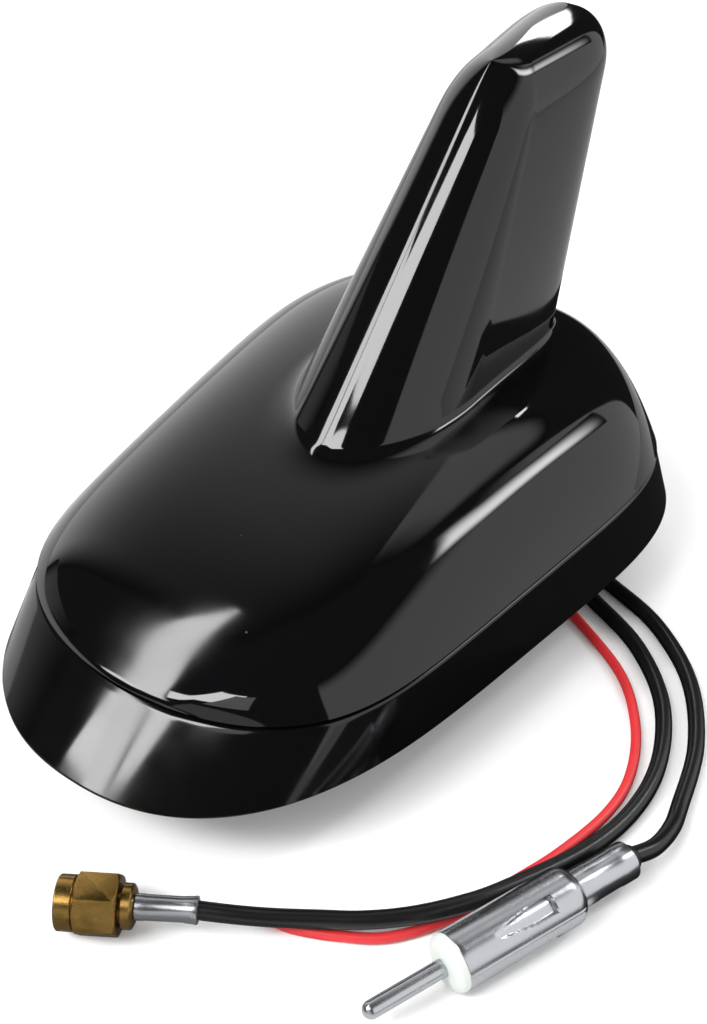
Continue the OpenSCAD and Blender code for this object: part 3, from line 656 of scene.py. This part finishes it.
def between(share, inset):
    """Row on the skirt's outer face, a share of the way up from rim to seam."""
    x0, y0 = rim(around, inset)
    x1, y1 = seam(around, inset)
    z1 = seam_z(y1)
    return np.stack([x0 + (x1 - x0) * share, y0 + (y1 - y0) * share, RIM_Z + (z1 - RIM_Z) * share], -1)


PLATE_HW = BODY_HW - 3.2
PLATE_L = BODY_L - 10.6
PLATE_Y = BODY_Y + 1.7
PLATE_TAPER = 0.18


def plate_row(inset, z):
    x, y = outline(around, PLATE_HW - inset, PLATE_L - 2 * inset, PLATE_Y, PLATE_TAPER, RIM_E)
    return np.stack([x, y, np.full_like(x, z)], -1)


def flat_row(curve, inset, z):
    x, y = curve(around, inset)
    return np.stack([x, y, np.full_like(x, z)], -1)


PLATE_Z = RIM_Z + 1.2
PLATE_TOP = PLATE_Z + 2.5
skirt_rows = [plate_row(-0.15, RIM_Z), flat_row(rim, 0.9, RIM_Z), flat_row(rim, 0.45, RIM_Z + 0.08),
              between(0.05, 0.0)]
skirt_rows += [between(k, 0.0) for k in np.linspace(0.08, 0.93, 10)]
skirt_rows += [between(0.955, 0.0), between(0.97, 0.02), between(0.983, 0.07), between(0.993, 0.16),
               seam_row(around, 0.28, -0.02), seam_row(around, 0.42, 0.0), seam_row(around, 0.6, 0.0),
               seam_row(around, SKIRT_WALL - 0.3, 0.0), seam_row(around, SKIRT_WALL, -0.3),
               seam_row(around, SKIRT_WALL, -SPIGOT_H - 0.3),
               seam_row(around, SKIRT_WALL + 3, -SPIGOT_H - 0.3)]
skirt_rows += [flat_row(seam, SKIRT_WALL + 3, PLATE_TOP), plate_row(-0.15, PLATE_TOP)]
skirt = wrapped("skirt_flared_ring", skirt_rows, ring_shut=True, degrees=28.0)
placed(skirt, abs_skirt, "skirt_black", AERIAL, "skirt_ring")


# Small plug

BORE_R = 3.1
RING_R = 3.8
GROOVE_R = 3.62
GROOVE_X = 2.45
HEX_X = 2.6
FACE_R = 3.9
CORNER_R = 5.2
CHAMFER = 0.75
NECK_R = 2.45
NUT_L = RING_L + HEX_L
sma_axis = along(SMA_TIP, SMA_AZ)
nut_blank = lathed("sma_coupling_nut", [
    (0.0, BORE_R), (0.0, GROOVE_R), (0.18, RING_R), (GROOVE_X - 0.15, RING_R), (GROOVE_X, GROOVE_R),
    (HEX_X, GROOVE_R), (HEX_X, FACE_R), (HEX_X + CHAMFER, CORNER_R), (NUT_L - CHAMFER, CORNER_R),
    (NUT_L, FACE_R), (NUT_L, NECK_R), (SHOULDER_X, NECK_R), (SHOULDER_X, BORE_R)],
    sma_axis, steps=96, shut=True)
start_clean()
bpy.ops.mesh.primitive_cylinder_add(vertices=6, radius=HEX_AF / 2 / math.cos(math.pi / 6) * MM,
                                    depth=20 * MM, location=(0, 0, 0))
hexagon = named("hexagon_tool")
hexagon.matrix_world = sma_axis @ Matrix.Translation((5.5 * MM, 0, 0)) @ Matrix.Rotation(math.pi / 2, 4, "Y")
settle(hexagon)
cut = nut_blank.modifiers.new("hexagon", "BOOLEAN")
cut.operation = "INTERSECT"
cut.solver = "EXACT"
cut.object = hexagon
edge = nut_blank.modifiers.new("edge", "BEVEL")
edge.width = 0.12 * MM
edge.segments = 3
edge.limit_method = "ANGLE"
edge.angle_limit = math.radians(25)
edge.harden_normals = False
apply_all(nut_blank)
bpy.data.objects.remove(hexagon)
smooth(nut_blank, 28.0)
placed(nut_blank, gold, "gold_plate", NUT, "sma_nut")

sma_body = lathed("sma_plug_body", [
    (BODY_X + 0.4, 2.05), (0.8, 2.05), (0.8, 2.2), (0.9, 2.3), (SHOULDER_X - 1.5, 2.3),
    (SHOULDER_X - 1.5, 2.8), (SHOULDER_X - 0.3, 2.8), (SHOULDER_X - 0.3, 2.4), (BODY_X, 2.4),
    (BODY_X, 2.95), (BODY_X + 0.15, 3.1), (BODY_X + 1.25, 3.1), (BODY_X + 1.4, 2.95),
    (BODY_X + COLLAR_L, 2.6), (BODY_X + COLLAR_L, 1.2), (BODY_X + 0.4, 1.2)],
    sma_axis, steps=64, shut=True)
placed(sma_body, gold, "gold_plate", AERIAL, "sma_body")

ptfe_plug = lathed("sma_plug_insulator", [
    (2.6, 0.46), (2.6, 1.95), (2.7, 2.05), (BODY_X + 0.4, 2.05), (BODY_X + 0.4, 0.46)], sma_axis, shut=True)
placed(ptfe_plug, ptfe, "ptfe", AERIAL, "sma_insulator")

centre = lathed("sma_plug_centre_pin", [
    (0.7, 0.0), (0.72, 0.16), (0.85, 0.26), (1.3, 0.46), (BODY_X - 1, 0.46), (BODY_X - 1, 0.0)],
    sma_axis, steps=24)
placed(centre, gold, "gold_plate", AERIAL, "sma_pin")

FERRULE_X = BODY_X + COLLAR_L
ferrule_profile = [
    (0.0, 0.6), (0.0, 1.62), (0.15, 1.78), (1.2, 1.8), (1.5, 1.74), (6.6, 1.73), (7.0, 1.8), (7.8, 1.84),
    (8.4, 1.93), (8.55, 1.9), (FERRULE_L, 1.8), (FERRULE_L, 1.35), (8.1, 1.32), (8.1, 0.6)]
ferrule = lathed("sma_crimp_ferrule", [(FERRULE_X + x, r) for x, r in ferrule_profile], sma_axis,
                 steps=64, shut=True)
placed(ferrule, nickel, "nickel_plate", AERIAL, "sma_ferrule")


# Long plug

din_axis = along(DIN_TIP, DIN_AZ)
PIN_R = 1.25
pin_profile = [(PIN_R - PIN_R * math.cos(a), PIN_R * math.sin(a)) for a in np.linspace(0, math.pi / 2, 12)]
din_pin = lathed("din_centre_pin", pin_profile + [(6.0, PIN_R), (PIN_L + 5, PIN_R), (PIN_L + 5, 0.0)],
                 din_axis, steps=48)
placed(din_pin, nickel, "nickel_plate", AERIAL, "din_pin")

BARREL_R = BARREL_D / 2
front = lathed("din_front_insulator", [
    (PIN_L, PIN_R), (PIN_L, 2.2), (PIN_L + 0.2, 3.2), (PIN_L + 0.55, 3.85), (PIN_L + 0.95, 4.1),
    (BARREL_X, 4.12), (BARREL_X, 3.7), (BARREL_X + 9, 3.7), (BARREL_X + 9, PIN_R)],
    din_axis, steps=64, shut=True)
placed(front, white, "plug_white", AERIAL, "din_insulator")

WINDOW_TURNS = (119.0, 207.0)
WINDOW_TIP = BARREL_X + 5.4
WINDOW_BACK = BARREL_X + 15.2
WINDOW_DEEP = 0.85
TIP_HW, BACK_HW = 0.55, 1.3


def degrees_off(turn, middle):
    """Degrees from a middle, either way round."""
    return (np.degrees(turn) - middle + 180) % 360 - 180


def window_depth(x, turn):
    """Depth in mm of the two pressed windows: square behind, tapering and rising forward."""
    deep = np.zeros_like(x)
    for middle in WINDOW_TURNS:
        off = np.abs(degrees_off(turn, middle)) / 180 * math.pi * BARREL_R
        share = np.clip((x - WINDOW_TIP) / (WINDOW_BACK - WINDOW_TIP), 0, 1)
        half = TIP_HW + (BACK_HW - TIP_HW) * np.clip(share / 0.6, 0, 1)
        side = np.clip((half - off) / 0.22, 0, 1)
        rear = np.clip((WINDOW_BACK - x) / 0.2, 0, 1)
        deep = np.maximum(deep, WINDOW_DEEP * share ** 0.8 * side * rear)
    return deep


def jointed(ring, turn, r, middle, deep, spread, cut_in=0.0):
    """A ring of rolled sheet, sunk along its lengthwise joint and by a depth cut in."""
    inward = 1 - (cut_in + deep * np.exp(-(degrees_off(turn, middle) / spread) ** 2)) / r
    return ring * np.stack([np.ones_like(turn), inward, inward], -1)


barrel_x = [BARREL_X + v for v in (0.0, 0.1, 0.35, 0.8, 1.4, 2.2, 3.2)]
barrel_x += list(BARREL_X + np.linspace(4.0, 14.8, 40))
barrel_x += [BARREL_X + v for v in (14.95, 15.05, 15.12, 15.2, 15.3, 15.6, 16.5, 17.6, 18.4)]
barrel_r = [BARREL_R - 0.12, BARREL_R - 0.03] + [BARREL_R] * (len(barrel_x) - 2)
barrel_bore = BARREL_R - 1.35
shell_profile = list(zip(barrel_x, barrel_r))
shell_profile += [
    (SLEEVE_X - 1.7, BARREL_R - 0.02), (SLEEVE_X - 1.2, BARREL_R - 0.16), (SLEEVE_X - 0.7, BARREL_R - 0.48),
    (SLEEVE_X - 0.3, BARREL_R - 0.9), (SLEEVE_X - 0.05, barrel_bore), (SLEEVE_X, 2.7), (SLEEVE_X, 2.0),
    (SLEEVE_X - 1.2, 2.0), (SLEEVE_X - 1.6, barrel_bore), (BARREL_X, barrel_bore)]


def ring_at(x, r, count):
    a = np.linspace(0, math.tau, count, endpoint=False)
    return np.stack([np.full_like(a, x), r * np.cos(a), r * np.sin(a)], -1), a


BARREL_JOINT = 160.0
SLEEVE_JOINT = 8.0
barrel_rings = []
for x, r in shell_profile:
    ring, a = ring_at(x, r, 180)
    if r > BARREL_R - 0.2:
        ring = jointed(ring, a, r, BARREL_JOINT, 0.12, 1.3, window_depth(np.full_like(a, x), a))
    barrel_rings.append(ring)
barrel = wrapped("din_rolled_barrel", barrel_rings, ring_shut=True, degrees=30.0)
barrel.matrix_world = din_axis
settle(barrel)
placed(barrel, nickel, "nickel_plate", AERIAL, "din_barrel")

SLEEVE_R = 2.8
BUSH_X = SLEEVE_X + SLEEVE_L
sleeve_profile = [
    (SLEEVE_X - 3, 2.0), (SLEEVE_X - 0.1, 2.0), (SLEEVE_X - 0.1, SLEEVE_R - 0.1), (SLEEVE_X, SLEEVE_R),
    (SLEEVE_X + 2.4, SLEEVE_R), (SLEEVE_X + 2.9, SLEEVE_R - 0.06), (SLEEVE_X + 6.6, SLEEVE_R - 0.08),
    (SLEEVE_X + 7.1, SLEEVE_R), (BUSH_X - 0.25, SLEEVE_R), (BUSH_X - 0.06, SLEEVE_R - 0.08),
    (BUSH_X, SLEEVE_R - 0.25), (BUSH_X, 1.9), (BUSH_X - 5, 1.9), (BUSH_X - 5, 1.0), (SLEEVE_X - 3, 1.0)]
sleeve_rings = []
for x, r in sleeve_profile:
    ring, a = ring_at(x, r, 120)
    if r > 2.5:
        ring = jointed(ring, a, r, SLEEVE_JOINT, 0.14, 2.0)
    sleeve_rings.append(ring)
sleeve = wrapped("din_crimp_sleeve", sleeve_rings, ring_shut=True, degrees=30.0)
sleeve.matrix_world = din_axis
settle(sleeve)
placed(sleeve, nickel, "nickel_plate", AERIAL, "din_sleeve")

bush = lathed("din_lead_bush", [
    (BUSH_X - 5, 0.0), (BUSH_X - 5, 1.9), (BUSH_X + 0.6, 1.9), (BUSH_X + 0.95, 1.75),
    (BUSH_X + BUSH_L, 1.5), (BUSH_X + BUSH_L, 0.0)], din_axis, steps=48)
placed(bush, nylon, "bush_black", AERIAL, "din_bush")


# Tinned end of the red lead: a bundle with six outer strands, slightly twisted

STRAND_R = 0.40
STRAND_DEEP = 0.05


def strands():
    start = np.array(red_route[-1], dtype=float)
    way = np.array(RED_FAR) - start
    reach = np.linalg.norm(way)
    way /= reach
    side = np.cross((0, 0, 1.0), way)
    up = np.cross(way, side)
    rings = []
    for k in np.linspace(-0.3, 1, 22):
        a = np.linspace(0, math.tau, 48, endpoint=False)
        r = (STRAND_R + STRAND_DEEP * np.cos(6 * a + 2.2 * k)) * (1 if k < 0.97 else 0.7)
        rings.append(start + way * reach * k + np.outer(r * np.cos(a), side) + np.outer(r * np.sin(a), up))
    ends = [ring * 0 + ring.mean(0) for ring in (rings[0], rings[-1])]
    return ends[:1] + rings + ends[1:]


wire_end = wrapped("red_wire_tinned_end", strands(), degrees=50.0)
placed(wire_end, strand, "tinned_copper", AERIAL, "red_wire_end")


# Roof stud with its thread: 1.5 mm pitch on 14 mm

STUD_R = 7.0
STUD_BORE_R = 4.6
FLANGE_R = 10.0
FLANGE_TOP = PLATE_TOP + 1.4
THREAD_PITCH = 1.5
THREAD_DEEP = 0.85
THREAD_TOP = 11.4
SLOT_W = 7.6
SLOT_TOP = 12.5


def thread_rings(z0, z1, pitch, major, depth, count=96, per_turn=10):
    rings = []
    steps = int((z1 - z0) / pitch * per_turn)
    for k in range(steps + 1):
        z = z0 + (z1 - z0) * k / steps
        a = np.linspace(0, math.tau, count, endpoint=False)
        wave = (z / pitch - a / math.tau) % 1.0
        tri = np.abs(wave - 0.5) * 2
        fade = min(1.0, (z - z0) / 0.8)
        r = major - depth * (np.clip(tri * 1.25 - 0.125, 0, 1) * fade + (1 - fade))
        rings.append(np.stack([r * np.cos(a), STUD_Y + r * np.sin(a), np.full_like(a, z)], -1))
    return rings


def circle_row(r, z, count=96):
    a = np.linspace(0, math.tau, count, endpoint=False)
    return np.stack([r * np.cos(a), STUD_Y + r * np.sin(a), np.full_like(a, z)], -1)


stud_rows = [circle_row(STUD_BORE_R, 0.0), circle_row(STUD_R - 1, 0.0)]
stud_rows += thread_rings(0.05, THREAD_TOP, THREAD_PITCH, STUD_R, THREAD_DEEP)
stud_rows += [circle_row(STUD_R, THREAD_TOP + 0.2), circle_row(STUD_R, PLATE_TOP),
              circle_row(FLANGE_R, PLATE_TOP), circle_row(FLANGE_R, FLANGE_TOP),
              circle_row(STUD_BORE_R, FLANGE_TOP)]
stud = wrapped("roof_stud_threaded", stud_rows, ring_shut=True, degrees=40.0)
start_clean()
bpy.ops.mesh.primitive_cube_add(size=1.0)
slot_tool = named("slot_tool")
slot_tool.scale = (20 * MM, SLOT_W * MM, (SLOT_TOP + 1) * MM)
slot_tool.rotation_euler = (0, 0, math.radians(LEAD_AZ))
slot_tool.location = Vector((0, STUD_Y, (SLOT_TOP - 1) / 2)) * MM + Vector(level(LEAD_AZ)) * 10 * MM
settle(slot_tool)
cut = stud.modifiers.new("slot", "BOOLEAN")
cut.operation = "DIFFERENCE"
cut.solver = "EXACT"
cut.object = slot_tool
apply_all(stud)
bpy.data.objects.remove(slot_tool)
smooth(stud, 30.0)
placed(stud, zinc, "plated_steel", AERIAL, "roof_stud")


# CAD nodes that keep their own shape

for node_name, mat in (
    ("base_plate", cast), ("base_gasket", rubber), ("claw_washer", zinc), ("roof_nut", zinc),
    ("case_screws", zinc), ("circuit_board", board), ("board_screws", zinc), ("gps_patch", ceramic),
    ("patch_face", silver), ("shield_can", tin), ("fin_socket", nylon), ("fin_board", board),
    ("fin_track", copper),
):
    paint(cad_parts[node_name], mat)


# Floor: pale paper, which gloss sees painted grey, with painted dark reflections: zones beside the skirt and
# the plugs that gloss sees darker still

FLOOR = "#f4f4f4"
FLOOR_PAINTED_GREY_IN_GLOSS = "#c4c4c4"
# each painted dark reflection zone's near and far corner, in metres, and its tone
PAINTED_DARK_REFLECTION_ZONES = (
    ((-0.06, -0.03), (0.13, 0.12), "#050505"),
    ((0.078, -0.12), (0.2, -0.03), "#202020"),
    ((-0.05, -0.16), (0.04, -0.03), "#6c6c6c"),
)

start_clean()
bpy.ops.mesh.primitive_plane_add(size=6.0, location=(0, 0, -0.02 * MM))
floor = named("studio_floor")
floor_mat, shader = finish("paper_pale", FLOOR, 0.9)
place = add(floor_mat, "ShaderNodeNewGeometry").outputs["Position"]
axes = add(floor_mat, "ShaderNodeSeparateXYZ", {"Vector": place})
glossy = add(floor_mat, "ShaderNodeLightPath").outputs["Is Glossy Ray"]


def painted_reflection_mask(low, high):
    """One inside a rectangle of the floor for rays that come off gloss, nought elsewhere: where a dark
    reflection is painted.
    """
    share = glossy
    for axis, at_least, at_most in zip("XY", low, high):
        for operation, limit in (("GREATER_THAN", at_least), ("LESS_THAN", at_most)):
            test = add(floor_mat, "ShaderNodeMath", {0: axes.outputs[axis]}, operation=operation)
            test.inputs[1].default_value = limit
            both = add(floor_mat, "ShaderNodeMath", {0: share, 1: test.outputs[0]}, operation="MULTIPLY")
            share = both.outputs[0]
    return share


# painted reflections: gloss sees the floor grey, and dark in each zone
mixed = add(floor_mat, "ShaderNodeMix", {"Factor": glossy}, data_type="RGBA")
mixed.inputs[6].default_value = lin(FLOOR)
mixed.inputs[7].default_value = lin(FLOOR_PAINTED_GREY_IN_GLOSS)
for low, high, code in PAINTED_DARK_REFLECTION_ZONES:
    links = {"Factor": painted_reflection_mask(low, high), 6: mixed.outputs[2]}
    mixed = add(floor_mat, "ShaderNodeMix", links, data_type="RGBA")
    mixed.inputs[7].default_value = lin(code)
link(floor_mat, mixed.outputs[2], shader.inputs["Base Color"])
paint(floor, floor_mat)


# Light: glowing cards on spheres, each between two lines of directions. They are shaped and placed
# for the photograph's view, stand unseen and cast no shadow

CARD_STEPS = 30


def partway(line, share):
    """Azimuth and elevation a share of the way along a line of directions."""
    at = share * (len(line) - 1)
    return [np.interp(at, range(len(line)), [point[k] for point in line]) for k in (0, 1)]


def card(name, low, high, radiance, low_fade=0.0, high_fade=0.0, start_fade=0.0, end_fade=0.0, reach=1.0,
         centre=(0.0, 0.0, 0.035)):
    """A lit card from a low to a high line of (azimuth, elevation) points in degrees."""
    start_clean()
    bpy.ops.mesh.primitive_grid_add(x_subdivisions=CARD_STEPS, y_subdivisions=4, size=2.0, calc_uvs=True)
    obj = named(name)
    for vertex in obj.data.vertices:
        u, v = (vertex.co.x + 1) / 2, (vertex.co.y + 1) / 2
        az, el = (math.radians(a + (b - a) * v) for a, b in zip(partway(low, u), partway(high, u)))
        vertex.co = Vector((math.cos(el) * math.cos(az), math.cos(el) * math.sin(az), math.sin(el))) * reach
        vertex.co += Vector(centre)
    mat = bpy.data.materials.new(name)
    mat.use_nodes = True
    mat.node_tree.nodes.remove(mat.node_tree.nodes["Principled BSDF"])
    glow = add(mat, "ShaderNodeEmission")
    uv = add(mat, "ShaderNodeSeparateXYZ", {"Vector": add(mat, "ShaderNodeTexCoord").outputs["UV"]})
    strength = add(mat, "ShaderNodeValue").outputs[0]
    strength.default_value = radiance
    for axis, start, end in (("Y", 0.0, low_fade), ("Y", 1.0, 1.0 - high_fade),
                             ("X", 0.0, start_fade), ("X", 1.0, 1.0 - end_fade)):
        if start != end:
            ramp = add(mat, "ShaderNodeMapRange", {"Value": uv.outputs[axis]},
                       interpolation_type="SMOOTHSTEP", From_Min=start, From_Max=end)
            strength = add(mat, "ShaderNodeMath", {0: strength, 1: ramp.outputs[0]},
                           operation="MULTIPLY").outputs[0]
    link(mat, strength, glow.inputs["Strength"])
    link(mat, glow.outputs[0], mat.node_tree.nodes["Material Output"].inputs["Surface"])
    paint(obj, mat)
    obj.visible_camera = False
    obj.visible_shadow = False


TIP_AZ = -187.0


def drooping(start, tip_el, fall, sag, dive, power):
    """A line of directions to a tip, which droops ever faster away from it and has finer steps near it."""
    line = []
    for share in np.linspace(1, 0, CARD_STEPS + 1):
        away = (start - TIP_AZ) * share ** 1.5
        line.append((TIP_AZ + away, tip_el - fall * away - sag * away ** 2 - (away / dive) ** power))
    return line


nose_low = drooping(-129.7, tip_el=61.0, fall=0.18, sag=0.0, dive=33.7, power=5)
nose_high = drooping(-103.0, tip_el=61.4, fall=0.0, sag=0.0029, dive=51.0, power=6)
card("main_softbox", [(-131, 30), (-108, 38), (-107, 45.6), (-84, 45.8)],
     [(-130, 49), (-116, 50), (-112, 61), (-84, 59)], 14.0)
card("nose_softbox", nose_low, nose_high, 13.0, high_fade=0.22, reach=0.94)
card("ridge_softbox", [(89, 31), (98, 27), (109, 20), (121, 19)],
     [(89, 37), (99, 36), (110, 33), (121, 28)], 14.0, low_fade=0.15, start_fade=0.04, end_fade=0.04,
     reach=0.05, centre=(0.0, 0.045, 0.085))
card("shoulder_softbox", [(39, 58), (44, 48), (51, 40), (60, 27)],
     [(67, 66), (61, 57.5), (62, 49), (69, 37)], 15.0, low_fade=0.3, high_fade=0.65, start_fade=0.12,
     end_fade=0.36)
card("right_card", [(-24, -2), (70, -2)], [(-26, 60), (70, 60)], 1.2, high_fade=0.2, reach=1.2)
card("top_card", [(72, 50), (95, 48), (119, 48)], [(76, 68), (95, 72), (119, 72)], 1.0, low_fade=0.15,
     high_fade=0.4, start_fade=0.3, reach=1.3)
card("back_wall", [(118, -2), (150, -2), (184, -2)], [(118, 74), (150, 74), (184, 66)], 1.75,
     high_fade=0.8, end_fade=0.15, reach=1.4)
card("left_card", [(180, -12), (216, 10)], [(180, 14), (213, 30)], 0.4, start_fade=0.2, end_fade=0.6,
     reach=1.2)
card("front_card", [(-100, 1), (-85, 1), (-70, 1), (-58, 1), (-48, 1), (-38, 1)],
     [(-100, 36), (-85, 34), (-70, 28), (-58, 20), (-48, 11), (-40, 5)], 0.8, low_fade=0.1,
     high_fade=0.1, reach=1.2)
card("plug_card", [(-108, 57), (-66, 57)], [(-108, 77), (-66, 77)], 1.6, reach=0.12,
     centre=(0.02, -0.07, 0.0))

# Surroundings: bright all round to the camera and to dull surfaces, nearly dark to gloss

AROUND = 1.15
AROUND_IN_GLOSS = 0.04

world = bpy.data.worlds.new("studio")
bpy.context.scene.world = world
world.use_nodes = True
seen_by = add(world, "ShaderNodeLightPath").outputs["Is Glossy Ray"]
strength = add(world, "ShaderNodeMix", {0: seen_by})
strength.inputs[2].default_value = AROUND
strength.inputs[3].default_value = AROUND_IN_GLOSS
background = world.node_tree.nodes["Background"]
background.inputs["Color"].default_value = (1, 1, 1, 1)
link(world, strength.outputs[0], background.inputs["Strength"])

bpy.context.scene.view_settings.view_transform = "Standard"
